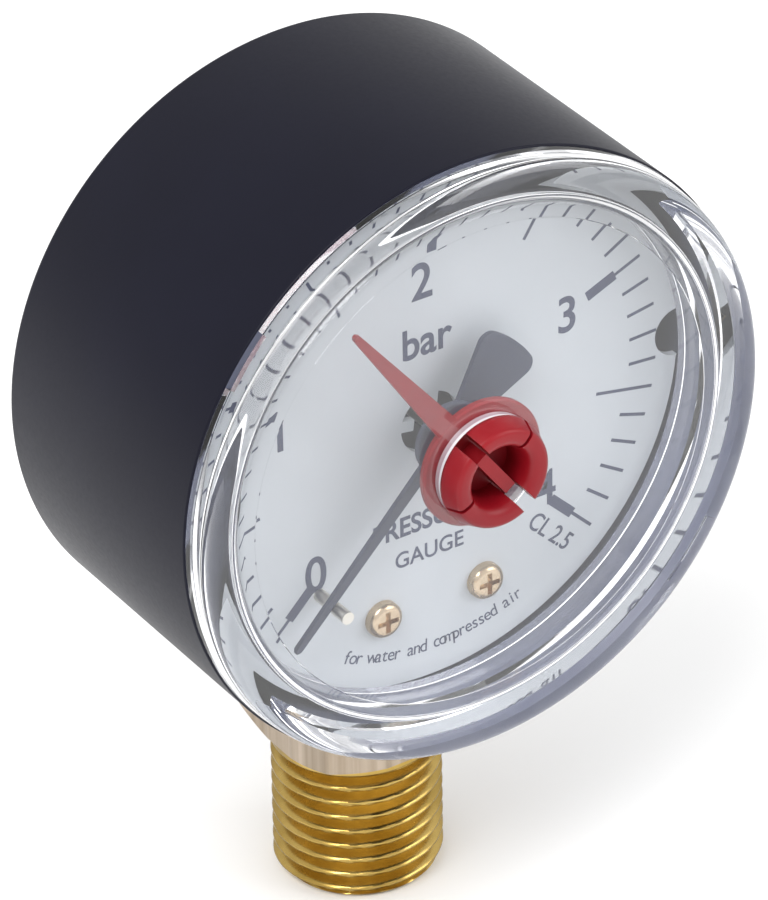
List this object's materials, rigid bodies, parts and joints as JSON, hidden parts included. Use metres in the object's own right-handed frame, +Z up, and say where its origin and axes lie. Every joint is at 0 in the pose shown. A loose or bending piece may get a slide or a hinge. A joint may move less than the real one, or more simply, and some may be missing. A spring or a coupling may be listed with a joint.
{
  "type": "pressure gauge",
  "caption": "Round dial pressure gauge with black case, clear window, adjustable red set hand and brass bottom connection.",
  "frame": {"origin": "centre of the lower end face of the threaded stem", "axes": "+Z up along the stem, the dial faces -Y, +X to the right as the dial is read"},
  "size_m": [0.049, 0.031, 0.0695],
  "materials": {
    "case_plastic": "moulded black plastic, soft sheen",
    "window_clear": "clear moulded plastic",
    "dial_sheet": "white printed sheet",
    "brass_screw": "bright",
    "pin_steel": "bright",
    "stem_brass": "machined",
    "steel_screw": "zinc plated",
    "tube_bronze": "drawn bronze",
    "brass_part": "stamped",
    "plate_dark": "dark coated",
    "steel_part": "turned",
    "pointer_black": "matt black",
    "set_hand_red": "moulded red plastic"
  },
  "bodies": {
    "housing": {"case": "case_plastic", "window": "window_clear", "dial": "dial_sheet", "dial_screws": "brass_screw", "stop_pin": "pin_steel", "stem": "stem_brass", "case_screws": "steel_screw", "bourdon_tube": "tube_bronze", "front_plate": "plate_dark", "back_plate": "brass_part", "pillars": "brass_part", "plate_screws": "steel_screw", "mounting_screws": "steel_screw", "hairspring": "tube_bronze", "hairspring_stud": "brass_part"},
    "pointer_assembly": {"pointer": "pointer_black", "pointer_hub": "pointer_black", "pinion": "steel_part", "hairspring_collet": "brass_part"},
    "sector_assembly": {"sector_gear": "brass_part", "sector_arbor": "steel_part", "lever_pin": "steel_part"},
    "tube_end": {"tube_tip": "brass_part", "tip_pin": "steel_part"},
    "link_bar": {"link": "brass_part"},
    "set_hand_knob": {"set_hand": "set_hand_red"}
  },
  "joints": [
    {"name": "sector_swing", "type": "hinge", "parent": "housing", "child": "sector_assembly", "pos_m": [0.00764, 0, 0.03736], "axis": [0, -1, 0], "range_deg": [0, 33.75]},
    {"name": "pointer_spin", "type": "hinge", "parent": "housing", "child": "pointer_assembly", "pos_m": [0, 0, 0.045], "axis": [0, 1, 0], "range_deg": [0, 271], "deforming": ["hairspring"]},
    {"name": "tube_flex", "type": "hinge", "parent": "housing", "child": "tube_end", "pos_m": [-0.00282, 0, 0.04989], "axis": [0, -1, 0], "range_deg": [0, 7], "deforming": ["bourdon_tube"]},
    {"name": "link_pivot", "type": "hinge", "parent": "tube_end", "child": "link_bar", "pos_m": [0.01353, 0, 0.0404], "axis": [0, -1, 0], "range_deg": [-5.8, 0]},
    {"name": "set_hand_turn", "type": "hinge", "parent": "housing", "child": "set_hand_knob", "pos_m": [0, -0.0175, 0.045], "axis": [0, 1, 0], "continuous": true}
  ],
  "couplings": [
    {"joint": "pointer_spin", "follows": "sector_swing", "ratio": 8},
    {"joint": "tube_flex", "follows": "sector_swing", "ratio": 0.20606},
    {"joint": "link_pivot", "follows": "sector_swing", "ratio": -0.16814}
  ]
}
